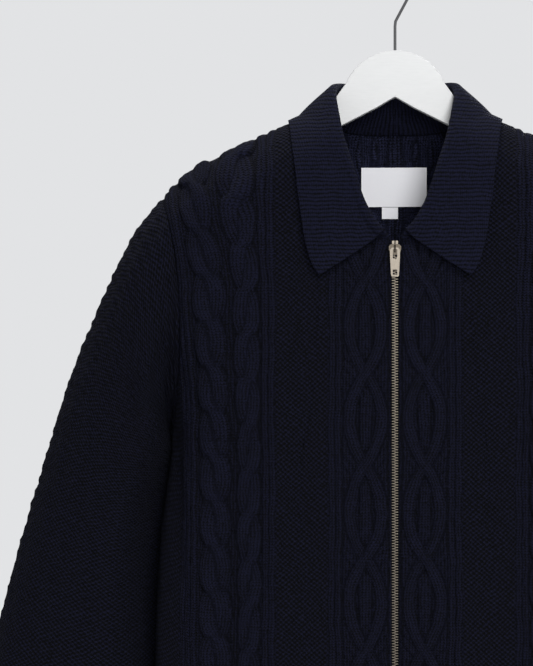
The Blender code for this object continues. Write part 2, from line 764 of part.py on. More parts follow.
def make_hook(material):
    centre = (0, -(HOOK_RADIUS - WIRE_RADIUS))
    shank_foot = -(BOARD_TOP_DROP - GAP)
    bend = centre[1] - HOOK_NECK
    lean = math.degrees(math.asin(HOOK_RADIUS / HOOK_NECK))
    round_part = arc(centre, HOOK_RADIUS, -lean, HOOK_END, 28)
    line = [(0, shank_foot), (0, bend - HOOK_EASE), (HOOK_EASE / 5, bend + HOOK_EASE)] + round_part
    return wire("hanger_hook", [(x, 0, z) for x, z in line], WIRE_RADIUS, material)


def make_all():
    made = make_materials()
    knit = made["navy_knit"]
    make_front("front_left", -1, knit)
    make_front("front_right", 1, knit)
    make_back(knit)
    make_sleeve("sleeve_left", -1, knit)
    make_sleeve("sleeve_right", 1, knit)
    make_collar(knit)
    make_zip(made["nickel"], made["navy_tape"])
    make_label("neck_label", -0.001, 0.0325, 0.1995, 0.2385, 0.0006, made["white_satin"])
    make_label("size_tab", -0.005, 0.0080, 0.2390, 0.2505, 0.0005, made["white_satin"])
    make_board(made["white_paint"])
    make_hook(made["steel_wire"])


clear_scene()
part = bpy.data.collections.new("knit_jacket")
cutters = bpy.data.collections.new("cutters")
bpy.context.scene.collection.children.link(part)
bpy.context.scene.collection.children.link(cutters)
make_all()
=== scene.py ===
"""Navy cable-knit zip jacket on a white hanger: the looks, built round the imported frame.

Metres, +Z up, the jacket faces -Y, "drop" is the distance below the inside top of the hook. The cloth
follows the same form as its solids: around = cloth from the centre line, under = cloth below the
shoulder line. "left" is at -X.
"""
import math

import bmesh
import bpy
import numpy as np
from mathutils import Matrix, Vector


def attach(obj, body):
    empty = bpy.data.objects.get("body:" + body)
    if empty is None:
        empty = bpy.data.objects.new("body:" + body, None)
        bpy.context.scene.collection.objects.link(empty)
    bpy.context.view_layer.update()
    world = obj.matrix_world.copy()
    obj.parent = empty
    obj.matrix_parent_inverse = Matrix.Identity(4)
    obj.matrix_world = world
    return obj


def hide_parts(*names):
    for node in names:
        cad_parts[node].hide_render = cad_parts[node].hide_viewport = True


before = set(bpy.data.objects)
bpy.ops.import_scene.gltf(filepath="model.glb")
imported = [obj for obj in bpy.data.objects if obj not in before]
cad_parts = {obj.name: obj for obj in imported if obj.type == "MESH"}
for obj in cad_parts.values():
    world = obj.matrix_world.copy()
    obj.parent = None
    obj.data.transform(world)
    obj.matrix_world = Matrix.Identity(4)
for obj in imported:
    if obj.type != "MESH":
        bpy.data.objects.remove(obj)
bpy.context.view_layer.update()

# ---------------------------------------------------------------- sizes of the jacket's form
WALL = 0.003
SHOULDER_ROUND = 0.065
TURN_LENGTH = 0.0906          # cloth from the shoulder line to where it hangs straight
CROWN = 0.10
NECK_HALF = 0.080
TIP_ACROSS = 0.226
TIP_DROP = 0.233
UNDERARM_DROP = 0.467
HEM_DROP = 0.832
FRONT_EDGE = 0.0036
FOLD_RADIUS = 0.0048
BODY_HALF = 0.30              # half width that the collar's leaf takes the body to have
LEAF_CLEAR = 0.0046
LEAF_BOW = 0.03               # how far the leaf bows out, as a share of its length
LEAF_SLACK = 0.12             # and how far it drops over the neck's roll
LEAF_LIFT = 0.0035            # the leaf's free edge stands off a little more
SLIDER_TOP = 0.2800
SLIDER_LENGTH = 0.0100
CHAIN_END = 0.8215

# ---------------------------------------------------------------- sizes of the knitting
CLOTH_THICK = 0.0026
WALE = 0.0030                 # a column of knit stitches; the yarn's own 2.4 is too fine to show here
COURSE = 0.0026               # a row of them
MOSS_WIDE = 0.0050            # one moss repeat across
MOSS_TALL = 0.0044            # and down
FULL_HEIGHT = 0.0055          # the highest strand of a cable, over the ground
RIB_PITCH = 0.0065
COLLAR_RIB = 0.0038
COLLAR_MIDDLE = -14           # the grid's row down the middle of the leaf
HEM_RIB_PITCH = 0.0056
HEM_RIB_TALL = 0.058
OGEE_REPEAT = 0.0875          # down, between two crossings of the big cable
OGEE_FIRST = 0.3148
LEAF_TALL = 0.0105            # small slanting stitches inside the ovals
LEAF_WIDE = 0.0100
OGEE_SWING = 0.0152           # how far each of its strands goes from the middle
OGEE_STRAND = 0.0060          # half the width of a strand
OGEE_HIGH = 0.0036            # height of its strands, and how much one rises over the other
OGEE_OVER = 0.0009
SPINE_WIDE = 0.0058           # half width of the small braid inside the ovals
ROPE_HIGH = 0.0038            # the same for the small cables
ROPE_OVER = 0.0018
RIB_HIGH = 0.0030
MOSS_HIGH = 0.0021
HEM_RIB_HIGH = 0.0026
BAND_LEAN = 0.016, 0.008      # how far the bands lean at the top, and lower down
ROPE_REPEAT = 0.0430          # down, between two crossings of the small cables

# Columns and rows of the cloth's grids
FRONT_GRID = 168, 274
HALF_BACK_GRID = 116, 200
SLEEVE_GRID = 168, 250
COLLAR_COLUMNS = 300

# Camera, from the photo: its scale at the jacket's front, and which way it looks
IMAGE_WIDTH, IMAGE_HEIGHT = 533, 666
FRONT_Y = -0.058
METRES_PER_PIXEL = 0.00095
CENTRE_LINE_PIXEL = 395
EYE_DISTANCE = 2.0
EYE_DROP = 0.3642


def table(columns, *rows):
    """A table with a name for each column."""
    return {name: np.array([row[i] for row in rows], float) for i, name in enumerate(columns.split())}


TORSO = table(
    "drop   half_width corner front  back",
    (0.100, 0.3500,    0.060, 0.050, 0.046),
    (0.240, 0.3000,    0.060, 0.054, 0.048),
    (0.290, 0.2620,    0.060, 0.055, 0.049),
    (0.350, 0.2340,    0.060, 0.057, 0.050),
    (0.385, 0.2225,    0.060, 0.057, 0.051),
    (0.412, 0.2180,    0.060, 0.058, 0.051),
    (0.440, 0.2165,    0.060, 0.058, 0.052),
    (0.467, 0.2160,    0.060, 0.058, 0.052),
    (0.559, 0.2265,    0.060, 0.060, 0.054),
    (0.688, 0.2325,    0.060, 0.060, 0.054),
    (0.780, 0.2310,    0.058, 0.058, 0.052),
    (0.840, 0.2220,    0.054, 0.052, 0.047))

SHOULDER = table(
    "across drop",
    (-0.02, 0.1150),
    (0.000, 0.1150),
    (0.080, 0.1500),
    (0.120, 0.1680),
    (0.160, 0.1862),
    (0.195, 0.2045),
    (0.215, 0.2200),
    (0.226, 0.2330),
    (0.240, 0.2500))

ARMHOLE = table(
    "drop   across",
    (0.2330, 0.2260),
    (0.2546, 0.2180),
    (0.2815, 0.2116),
    (0.3130, 0.2080),
    (0.3520, 0.2070),
    (0.4000, 0.2090),
    (0.4400, 0.2130),
    (0.4670, 0.2160))

NECK_FRONT = table(
    "across drop",
    (0.000, 0.2765),
    (0.010, 0.2740),
    (0.028, 0.2620),
    (0.048, 0.2360),
    (0.062, 0.2080),
    (0.072, 0.1800),
    (0.080, 0.1500))

NECK_BACK = table(
    "across drop",
    (0.000, 0.1680),
    (0.030, 0.1672),
    (0.055, 0.1630),
    (0.072, 0.1560),
    (0.080, 0.1500))

SLEEVE = table(
    "row outer_x outer_drop inner_x inner_drop half_depth fold_from fold_depth",
    (0,  0.2260, 0.2330,    0.2160, 0.4670,    0.045,     50,       0.000),
    (1,  0.2500, 0.2620,    0.2195, 0.4750,    0.051,     70,       0.022),
    (2,  0.2720, 0.3030,    0.2180, 0.4830,    0.055,     92,       0.040),
    (3,  0.2975, 0.3600,    0.2120, 0.4940,    0.057,     104,      0.043),
    (4,  0.3180, 0.4120,    0.2110, 0.5120,    0.057,     108,      0.043),
    (5,  0.3444, 0.4970,    0.2180, 0.5540,    0.055,     104,      0.043),
    (6,  0.3690, 0.5795,    0.2235, 0.6160,    0.051,     106,      0.040),
    (7,  0.3980, 0.6900,    0.2340, 0.7180,    0.044,     115,      0.028),
    (8,  0.4110, 0.7480,    0.2600, 0.7820,    0.040,     130,      0.010),
    (9,  0.4160, 0.7950,    0.2960, 0.8220,    0.033,     130,      0.000),
    (10, 0.4200, 0.8500,    0.3130, 0.8740,    0.028,     130,      0.000))
FOLD_TURN = 42          # degrees over which the fold behind the body's side begins, and ends
FOLD_BACK = 65
UNDERARM_TUCK = 0.007   # how far the sleeve's inner fold goes in behind the body's side
TUCK_SHARE = 0.35       # and how much of the sleeve's width goes with it
SLEEVE_BLEND = 2.5
SLEEVE_LAST = 10
CUFF_ROW = 9.0
CUFF_RIBS = 46
SLEEVE_GIRTH = 0.39
NUB_TALL = 0.0125       # uneven rows of the sleeve's moss
NUB_WIDE = 0.0080
NUB_HIGH = 0.0008
CUFF_RIB_HIGH = 0.0024

COLLAR = table(
    "along fold_x  fold_y  fold_drop edge_x  edge_y  edge_drop",
    (0.00, 0.0000, 0.0400, 0.1250,   0.0000, 0.0590, 0.2140),
    (0.20, 0.0290, 0.0350, 0.1240,   0.0520, 0.0580, 0.2100),
    (0.40, 0.0516, 0.0180, 0.1256,   0.0930, 0.0420, 0.1850),
    (0.50, 0.0574, 0.0010, 0.1306,   0.1040, 0.0020, 0.1630),
    (0.60, 0.0588, -0.020, 0.1456,   0.1000, -0.034, 0.1810),
    (0.70, 0.0540, -0.038, 0.1710,   0.0950, -0.055, 0.2070),
    (0.80, 0.0425, -0.051, 0.2030,   0.0905, -0.062, 0.2430),
    (0.90, 0.0275, -0.059, 0.2420,   0.0835, -0.064, 0.2840),
    (0.96, 0.0165, -0.062, 0.2590,   0.0770, -0.064, 0.3020),
    (1.00, 0.0095, -0.063, 0.2660,   0.0715, -0.064, 0.3095))

# What is knitted where on a front, in cloth from the zip
BANDS = table(
    "start   end     ogee rope  rib moss",
    (0.0066, 0.0494, 1,   0,    0,  0),
    (0.0494, 0.0637, 0,   0,    1,  0),
    (0.0637, 0.1135, 0,   0,    0,  1),
    (0.1135, 0.1265, 0,   0,    1,  0),
    (0.1265, 0.1890, 0,   1,    0,  0),
    (0.1890, 0.2080, 0,   0,    1,  0),
    (0.2080, 0.3000, 0,   0,    0,  1))
OGEE_CENTRE = 0.0280
ROPES = table(
    "centre  swing  strand slant",
    (0.1385, 0.0054, 0.0068, -1),
    (0.1705, 0.0070, 0.0084, 1))

# Soft folds of the hanging cloth: where they are, how far they reach and how high they stand
BODY_FOLDS = table(
    "around  drop   reach_across reach_down height  lean",
    (0.186,  0.600, 0.014,       0.150,     0.0030, 0.03),
    (0.215,  0.520, 0.010,       0.070,     -0.0045, -0.10),
    (0.092,  0.735, 0.020,       0.110,     -0.0024, -0.05),
    (0.140,  0.770, 0.018,       0.090,     0.0022, 0.02),
    (0.205,  0.745, 0.015,       0.080,     -0.0028, 0.06),
    (0.052,  0.690, 0.022,       0.140,     0.0016, 0.04),
    (0.235,  0.660, 0.012,       0.120,     0.0026, 0.00))
SLEEVE_FOLDS = table(
    "row  angle reach_row reach_angle height  lean",
    (1.6, 146,  1.1,      16,         -0.0070, 6),
    (2.6, 118,  1.0,      14,         0.0030, 8),
    (3.4, 150,  1.2,      18,         -0.0060, -8),
    (5.0, 100,  1.6,      16,         0.0026, 5),
    (5.8, 142,  1.2,      13,         -0.0040, 6),
    (6.6, 62,   1.3,      16,         -0.0026, -5),
    (7.6, 112,  0.7,      15,         -0.0050, -6),
    (7.9, 75,   0.6,      12,         0.0030, 4),
    (8.2, 40,   0.6,      12,         -0.0030, 4),
    (2.0, 222,  1.1,      16,         -0.0024, 6),
    (4.4, 238,  1.4,      18,         -0.0036, -6),
    (6.4, 262,  1.4,      18,         0.0030, 5),
    (7.7, 245,  0.7,      14,         -0.0045, 4),
    (8.0, 300,  0.7,      14,         -0.0030, -4))


# ---------------------------------------------------------------- the jacket's form
def smooth(value, columns, result, given):
    """The table's result column at values of its given column, on a curve through its rows."""
    xs = columns[given]
    ys = columns[result]
    slopes = np.gradient(ys, xs)
    i = np.clip(np.searchsorted(xs, value) - 1, 0, len(xs) - 2)
    width = xs[i + 1] - xs[i]
    t = (value - xs[i]) / width
    return ((2 * t**3 - 3 * t**2 + 1) * ys[i] + (t**3 - 2 * t**2 + t) * width * slopes[i]
            + (3 * t**2 - 2 * t**3) * ys[i + 1] + (t**3 - t**2) * width * slopes[i + 1])


def ease(value, low, high):
    """0 below low, 1 above high, soft between."""
    t = np.clip((value - low) / (high - low), 0, 1)
    return t * t * (3 - 2 * t)


def quarter_length(a, b):
    return math.pi / 4 * (3 * (a + b) - np.sqrt((3 * a + b) * (a + 3 * b)))


def shoulder_drop(x):
    return smooth(np.abs(x), SHOULDER, "drop", "across")


def side_length(drop, depth_name):
    """Cloth from the centre line to the side seam, its straight part, and the corner's width."""
    half_width, corner, depth = (smooth(drop, TORSO, name, "drop")
                                 for name in ("half_width", "corner", depth_name))
    straight = half_width - corner
    return straight + quarter_length(corner, depth), straight, corner


def level_point(around, drop, depth_name):
    length, straight, corner = side_length(drop, depth_name)
    turn = np.maximum(around - straight, 0) / (length - straight) * math.pi / 2
    x = np.where(around <= straight, around, straight + corner * np.sin(turn))
    return x, np.cos(turn)


def body_xyz(around, under, face):
    """Outer face of the body at +X, as an array of points; face -1 is the front and 1 the back."""
    depth_name = "front" if face < 0 else "back"
    turn = np.clip(np.abs(under) / TURN_LENGTH, 0, 1) * math.pi / 2
    below = SHOULDER_ROUND * (1 - np.cos(turn)) + np.maximum(np.abs(under) - TURN_LENGTH, 0)
    x = np.abs(around)
    for _ in range(6):
        drop = shoulder_drop(x) + below
        x, facing = level_point(np.abs(around), drop, depth_name)
    depth = smooth(drop, TORSO, depth_name, "drop")
    depth = depth * (1 - CROWN * (x / smooth(drop, TORSO, "half_width", "drop")) ** 2)
    y = face * np.where(under < 0, -1, 1) * depth * facing * np.sin(turn)
    return np.stack([np.where(around < 0, -x, x), y, -drop], axis=-1)


def under_at(around, drop, face):
    x, _ = level_point(around, drop, "front" if face < 0 else "back")
    below = np.maximum(drop - shoulder_drop(x), 0)
    turned = np.arccos(np.clip(1 - below / SHOULDER_ROUND, -1, 1)) / (math.pi / 2) * TURN_LENGTH
    return np.where(below < SHOULDER_ROUND, turned, TURN_LENGTH + below - SHOULDER_ROUND)


def unit(vectors):
    return vectors / np.maximum(np.linalg.norm(vectors, axis=-1, keepdims=True), 1e-12)


def body_normal(around, under, face):
    step = 0.0004
    across = body_xyz(around + step, under, face) - body_xyz(around - step, under, face)
    down = body_xyz(around, under + step, face) - body_xyz(around, under - step, face)
    normal = unit(np.cross(across, down))
    return normal if face > 0 else -normal


def armhole_around(drop, face):
    length, straight, corner = side_length(drop, "front" if face < 0 else "back")
    across = smooth(np.maximum(drop, TIP_DROP), ARMHOLE, "across", "drop")
    turn = np.arcsin(np.clip((across - straight) / corner, 0, 1))
    bent = straight + turn / (math.pi / 2) * (length - straight)
    at_arm = np.where(across <= straight, across, bent)
    return np.where(drop >= UNDERARM_DROP, length, at_arm)


def panel_grid(columns, rows, face, inner_edge):
    """(around, under, level) over a half panel: level is the cloth's own height, as knitted rows run."""
    x_top = inner_edge + (TIP_ACROSS - inner_edge) * np.linspace(0, 1, columns + 1)[:, None]
    neck = NECK_FRONT if face < 0 else NECK_BACK
    top_drop = np.where(x_top < NECK_HALF, smooth(x_top, neck, "drop", "across"), shoulder_drop(x_top))
    top = under_at(x_top, top_drop, face)
    down = np.linspace(0, 1, rows + 1)[None, :]
    share = x_top / TIP_ACROSS
    around = x_top + 0 * down
    for _ in range(5):
        x = body_xyz(around, top + 0 * down + 0.001, face)[..., 0]
        bottom = TURN_LENGTH + HEM_DROP - shoulder_drop(x) - SHOULDER_ROUND
        under = top + (bottom - top) * down
        drop = -body_xyz(around, under, face)[..., 2]
        around = np.maximum(share * armhole_around(drop, face), inner_edge)
    level = shoulder_drop(x) + under - TURN_LENGTH + SHOULDER_ROUND
    return around, under, level


# ---------------------------------------------------------------- what is knitted
def strand(distance, half_width):
    """Flattened round back of a cable's strand."""
    return np.clip(1 - (distance / half_width) ** 2, 0, 1) ** 0.4


def within(value, start, end, soft=0.0012):
    return ease(value, start - soft, start + soft) * (1 - ease(value, end - soft, end + soft))


def higher(first, second):
    """Of two heights, each with its wale, the higher at each place."""
    return tuple(np.where(first[0] >= second[0], a, b) for a, b in zip(first, second))


def quick_cross(wave):
    """A wave whose strands run straight and then change sides quickly."""
    return np.sign(wave) * np.abs(wave) ** 0.45


def ogee_relief(u, level):
    """Two strands that part and cross in long ovals, filled with small slanting stitches."""
    phase = math.pi * (level - OGEE_FIRST) / OGEE_REPEAT
    swing = OGEE_SWING * np.sign(np.sin(phase)) * np.abs(np.sin(phase)) ** 0.8
    side = np.cos(phase)
    from_centre = u - OGEE_CENTRE
    near, far = from_centre - swing, from_centre + swing
    first = ((OGEE_HIGH + OGEE_OVER * side) * strand(near, OGEE_STRAND), near)
    second = ((OGEE_HIGH - OGEE_OVER * side) * strand(far, OGEE_STRAND), far)
    out = np.abs(from_centre)
    leaf = np.abs(np.sin(math.pi * (level / LEAF_TALL - out / LEAF_WIDE)))
    spine = strand(out, SPINE_WIDE) * (0.0020 + 0.0018 * leaf) * ease(np.abs(swing), 0.008, 0.012)
    ladder = np.sqrt(np.abs(np.sin(math.pi * (level / LEAF_TALL + out / LEAF_WIDE))))
    ladder = ladder * ease(out - np.abs(swing), 0.0055, 0.0075)
    return higher(higher(first, second), (spine + 0.0028 * ladder, from_centre))


def rope_relief(u, level):
    """Two ropes that mirror each other about a straight groove."""
    best = (np.zeros_like(u), u)
    for i in range(len(ROPES["centre"])):
        phase = math.pi * level / ROPE_REPEAT + i
        swing = ROPES["swing"][i] * ROPES["slant"][i] * quick_cross(np.cos(phase))
        from_centre = u - ROPES["centre"][i]
        for sign in (1, -1):
            off = from_centre - sign * swing
            height = (ROPE_HIGH + ROPE_OVER * sign * np.sin(phase)) * strand(off, ROPES["strand"][i])
            best = higher(best, (height, off))
    return best


def rib_relief(u, start, pitch, height):
    return height * np.abs(np.sin(math.pi * (u - start) / pitch)) ** 0.6


def panel_relief(u, level, drop):
    """Height of the knitting over the cloth's form, the wale it lies in, and how far it is moss."""
    lean = BAND_LEAN[0] * (1 - ease(level, 0.215, 0.33)) + BAND_LEAN[1] * (1 - ease(level, 0.30, 0.54))
    u = u - lean * ease(u, 0.10, 0.19) + wool_waver(level * 1.5, u * 2, 0.0010)
    height = np.zeros_like(u)
    moss = np.zeros_like(u)
    wale = u
    for i in range(len(BANDS["start"])):
        start, end = BANDS["start"][i], BANDS["end"][i]
        here = within(u, start, end)
        inside = here > 0.5
        if BANDS["ogee"][i]:
            high, off = ogee_relief(u, level)
            height, wale = height + here * high, np.where(inside, off, wale)
        if BANDS["rope"][i]:
            high, off = rope_relief(u, level)
            height, wale = height + here * high, np.where(inside, off, wale)
        if BANDS["rib"][i]:
            count = round((end - start) / RIB_PITCH)
            height = height + here * rib_relief(u, start, (end - start) / count, RIB_HIGH)
        if BANDS["moss"][i]:
            height = height + here * MOSS_HIGH
            moss = moss + here
    hem = ease(drop, HEM_DROP - HEM_RIB_TALL - 0.003, HEM_DROP - HEM_RIB_TALL + 0.003)
    ribbed = rib_relief(u, 0, HEM_RIB_PITCH, HEM_RIB_HIGH)
    return height * (1 - hem) + ribbed * hem, wale, moss * (1 - hem)


def fold_relief(across, down, folds, across_name, down_name, reach_across, reach_down):
    """Soft troughs and ridges from a table of folds."""
    height = np.zeros_like(across)
    for i in range(len(folds["height"])):
        along = down - folds[down_name][i]
        off = across - folds[across_name][i] - folds["lean"][i] * along
        height += folds["height"][i] * np.exp(-(off / folds[reach_across][i]) ** 2
                                              - (along / folds[reach_down][i]) ** 2)
    return height


def wool_waver(a, b, amount):
    """Slow unevenness of hand, from a few waves of unlike length."""
    waves = np.sin(31 * a + 17 * b) + np.sin(53 * b - 23 * a + 1.3) + np.sin(71 * a + 89 * b + 2.1)
    return amount * waves / 3


# ---------------------------------------------------------------- building cloth
def cloth(name, points, knit, outward, material, reverse, thick=CLOTH_THICK, weld=False):
    """A sheet of cloth from a grid of points; knit holds each point's wale, course, moss and height."""
    columns, rows = points.shape[0] - 1, points.shape[1] - 1
    bm = bmesh.new()
    bmesh.ops.create_grid(bm, x_segments=columns, y_segments=rows, size=0.5)
    layers = {word: bm.verts.layers.float.new(word) for word in knit}
    for vert in bm.verts:
        i = round((vert.co.x + 0.5) * columns)
        j = round((vert.co.y + 0.5) * rows)
        vert.co = points[i, j]
        for word, layer in layers.items():
            vert[layer] = knit[word][i, j]
    if weld:
        bmesh.ops.remove_doubles(bm, verts=bm.verts[:], dist=0.00002)
    bm.normal_update()
    middle = Vector(points[columns // 2, rows // 2])
    nearest = min(bm.faces, key=lambda f: (f.calc_center_median() - middle).length_squared)
    if nearest.normal.dot(Vector(outward)) < 0:
        bmesh.ops.reverse_faces(bm, faces=bm.faces[:])
    mesh = bpy.data.meshes.new(name)
    bm.to_mesh(mesh)
    bm.free()
    mesh.shade_smooth()
    obj = bpy.data.objects.new(name, mesh)
    bpy.context.scene.collection.objects.link(obj)
    mesh.materials.append(material)
    mesh.materials.append(reverse)
    wall = obj.modifiers.new("cloth's thickness", "SOLIDIFY")
    wall.thickness = thick
    wall.material_offset = 1
    wall.offset = -1
    return obj


def mirror_x(points, side):
    return points * np.array([side, 1, 1])


def place_piece(obj, slot, *nodes, body="garment"):
    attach(obj, body)
    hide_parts(*nodes)


def knitted_panel(columns, rows, face, inner_edge, fold_share):
    """Points of a half panel with its knitting and folds, and what is knitted there."""
    around, under, level = panel_grid(columns, rows, face, inner_edge)
    form = body_xyz(around, under, face)
    drop = -form[..., 2]
    height, wale, moss = panel_relief(around, level, drop)
    # The height is handed on to the material, which paints the low places of the knitting darker as
    # painted shade.
    knit = {"wale": wale, "course": level, "moss": moss, "height": height / FULL_HEIGHT}
    folds = fold_relief(around, drop, BODY_FOLDS, "around", "drop", "reach_across", "reach_down")
    height = height + fold_share * folds + wool_waver(around * 10, drop * 6, 0.0005)
    across = np.linspace(0, 1, columns + 1)[:, None] + 0 * drop
    down = np.linspace(0, rows, rows + 1)[None, :] + 0 * drop
    edge = np.minimum(1 - ease(across, 0.975, 1.0), ease(down, -1, 7))
    if inner_edge:
        edge = np.minimum(edge, ease(around, inner_edge, inner_edge + 0.004))
    points = form + body_normal(around, under, face) * (height * edge)[..., None]
    return points, knit


def make_front(name, side, material, reverse):
    points, knit = knitted_panel(*FRONT_GRID, -1, FRONT_EDGE, 1.0)
    obj = cloth(name, mirror_x(points, side), knit, (0, -1, 0), material, reverse)
    place_piece(obj, "knit", name.replace("knit_", ""))
    return obj


def make_back(material, reverse):
    points, knit = knitted_panel(*HALF_BACK_GRID, 1, 0.0, 1.2)
    whole = np.concatenate([mirror_x(points, -1)[:0:-1], points])
    knit = {word: np.concatenate([values[:0:-1], values]) for word, values in knit.items()}
    obj = cloth("knit_back", whole, knit, (0, 1, 0), material, reverse)
    place_piece(obj, "knit", "back")
    return obj


# ---------------------------------------------------------------- sleeves
def armhole_xyz(angle):
    """Points on the armhole: angle 0 at the shoulder, pi at the underarm, front first."""
    drop = TIP_DROP + (UNDERARM_DROP - TIP_DROP) * (1 - np.cos(angle)) / 2
    sides = []
    for face in (-1, 1):
        around = armhole_around(np.minimum(drop, UNDERARM_DROP - 1e-6), face)
        sides.append(body_xyz(around, np.maximum(under_at(around, drop, face), 0.00015), face))
    front_half = (np.sin(angle) >= 0)[..., None]
    return np.where(front_half, sides[0], sides[1])


def sleeve_oval(row, angle):
    at = {name: smooth(row, SLEEVE, name, "row") for name in SLEEVE}
    share = (1 + np.cos(angle)) / 2
    degrees = np.degrees(angle) % 360
    folded = ease(degrees, at["fold_from"], at["fold_from"] + FOLD_TURN)
    folded = folded * (1 - ease(degrees, 180, 180 + FOLD_BACK))
    x = at["inner_x"] + (at["outer_x"] - at["inner_x"]) * share
    tucked = ease(row, 0.4, 1.4) * (1 - ease(row, 3.2, 4.6))
    x = x - UNDERARM_TUCK * tucked * np.clip((TUCK_SHARE - share) / TUCK_SHARE, 0, 1) ** 0.7
    y = at["fold_depth"] * folded - at["half_depth"] * np.sin(angle)
    z = -(at["inner_drop"] + (at["outer_drop"] - at["inner_drop"]) * share)
    return np.stack([x, y, z], axis=-1)


def sleeve_xyz(row, angle):
    """The sleeve leaves the armhole's own curve and becomes oval over its first rows."""
    blend = ease(1 - row / SLEEVE_BLEND, 0, 1)[..., None]
    return sleeve_oval(row, angle) + (armhole_xyz(angle) - sleeve_oval(0 * row, angle)) * blend


def make_sleeve(name, side, material, reverse):
    columns, rows = SLEEVE_GRID
    angle = np.linspace(-math.pi, math.pi, columns + 1)[:, None] + np.zeros((1, rows + 1))
    row = SLEEVE_LAST * np.linspace(0, 1, rows + 1)[None, :] + 0 * angle
    form = sleeve_xyz(row, angle)
    ahead, behind = (sleeve_xyz(np.clip(row + step, 0, SLEEVE_LAST), angle) for step in (0.03, -0.03))
    turned = sleeve_xyz(row, angle + 0.01) - sleeve_xyz(row, angle - 0.01)
    normal = unit(np.cross(turned, ahead - behind))
    length = np.linalg.norm(np.diff(form[columns // 2], axis=0), axis=-1)
    course = np.concatenate([[0], np.cumsum(length)])[None, :] + 0 * angle
    wale = angle * SLEEVE_GIRTH / (2 * math.pi)
    degrees = np.degrees(angle) % 360
    height = fold_relief(degrees, row, SLEEVE_FOLDS, "angle", "row", "reach_angle", "reach_row")
    height += wool_waver(course * 5 + side, angle * 0.4, 0.0010)
    nubs = np.sin(2 * math.pi * course / NUB_TALL + 0.9 * np.sin(3 * angle)) * np.cos(wale / NUB_WIDE)
    height += NUB_HIGH * nubs
    cuff = ease(row, CUFF_ROW - 0.06, CUFF_ROW + 0.02)
    ribs = CUFF_RIB_HIGH * np.abs(np.sin(angle * CUFF_RIBS / 2)) ** 0.6
    height = (height + 0.0015) * (1 - cuff) + ribs * cuff
    points = form + normal * (height * ease(row, 0.0, 0.12))[..., None]
    points[..., 0] += 0.0003
    points[-1] = points[0]
    # The height handed on here only paints the colour darker in low places, as painted shade: a flat share
    # on the moss, with the nubs and the cuff's ribs.
    knit = {"wale": wale, "course": course, "moss": 1 - cuff,
            "height": 0.45 * (1 - cuff) + cuff * ribs / FULL_HEIGHT + 0.10 * nubs * (1 - cuff)}
    obj = cloth(name, mirror_x(points, side), knit, (0, -1, 0), material, reverse, weld=True)
    place_piece(obj, "knit", name.replace("knit_", ""))
    return obj


# ---------------------------------------------------------------- collar
def neck_edge(along):
    """Outer corner of the body's neck edge and the way its cloth looks, from centre back to the zip."""
    back = np.clip(along * 2, 0, 1)
    front = np.clip(2 - along * 2, 0, 1)
    result = []
    for share, table_used, face in ((back, NECK_BACK, 1), (front, NECK_FRONT, -1)):
        x = np.maximum(NECK_HALF * np.sin(math.pi / 2 * share), FRONT_EDGE if face < 0 else 0)
        drop = np.maximum(smooth(x, table_used, "drop", "across"), shoulder_drop(x))
        under = np.maximum(under_at(x, drop, face), 0.00015)
        result.append((body_xyz(x, under, face), body_normal(x, under, face)))
    on_back = (along <= 0.5)[..., None]
    return (np.where(on_back, result[0][k], result[1][k]) for k in (0, 1))


def clear_of_body(points, clear):
    """The points, moved out to lie at least that far from the body's outer face."""
    x, y, drop = points[..., 0], points[..., 1], -points[..., 2]
    face = np.where(y < 0, -1, 1)
    below = drop - shoulder_drop(x)
    front, back = (smooth(drop, TORSO, name, "drop") for name in ("front", "back"))
    deep = np.where(face < 0, front, back)
    up = SHOULDER_ROUND - below
    reach = np.hypot(up / (SHOULDER_ROUND + clear), y / (deep + clear))
    turn = np.arctan2(np.abs(y) / deep, up / SHOULDER_ROUND)
    height = -(shoulder_drop(x) + SHOULDER_ROUND) + (SHOULDER_ROUND + clear) * np.cos(turn)
    lifted = np.stack([x, face * (deep + clear) * np.sin(turn), height], axis=-1)
    flat_y = face * np.maximum(np.abs(y), deep * (1 - CROWN * (x / BODY_HALF) ** 2) + clear)
    flat = np.stack([x, flat_y, -drop], axis=-1)
    over_top = ((below < SHOULDER_ROUND) & (reach < 1) & (reach > 0))[..., None]
    hanging = (below >= SHOULDER_ROUND)[..., None]
    return np.where(hanging, flat, np.where(over_top, lifted, points))


def collar_point(name, along):
    along = np.clip(along, 0, 1)
    x, y, drop = (smooth(along, COLLAR, name + part, "along") for part in ("_x", "_y", "_drop"))
    return np.stack([x, y, -drop], axis=-1)


def collar_grid(columns):
    """Visible face of the collar: up the stand, round its fold and down the leaf."""
    along = np.abs(np.linspace(-1, 1, columns + 1))
    outer, normal = neck_edge(along)
    inner = outer - WALL * normal
    fold, edge = collar_point("fold", along), collar_point("edge", along)
    run = unit(collar_point("fold", along + 0.02) - collar_point("fold", along - 0.02))
    up = fold - inner
    up = unit(up - run * np.sum(up * run, axis=-1, keepdims=True))
    out = unit(np.cross(up, run))
    steps = [inner + 0.0006 * unit(fold - inner)]
    steps += [inner + (fold - inner) * share for share in np.linspace(0.08, 0.95, 14)]
    centre = fold + out * FOLD_RADIUS
    lift = LEAF_LIFT * ease(along, 0.60, 0.78)
    for turn in np.radians(np.linspace(0, 180, 11)):
        steps.append(centre + FOLD_RADIUS * (up * math.sin(turn) - out * math.cos(turn)))
    leaf_top = centre + out * FOLD_RADIUS
    length = np.linalg.norm(edge - leaf_top, axis=-1, keepdims=True)
    for share in np.linspace(0.03, 1, 34):
        slack = share - share * share * (3 - 2 * share)
        point = leaf_top + (edge - leaf_top) * share - up * length * LEAF_SLACK * slack
        point += out * length * LEAF_BOW * math.sin(math.pi * share)
        steps.append(clear_of_body(point, LEAF_CLEAR + lift * share * share))
    return np.stack(steps, axis=1), along


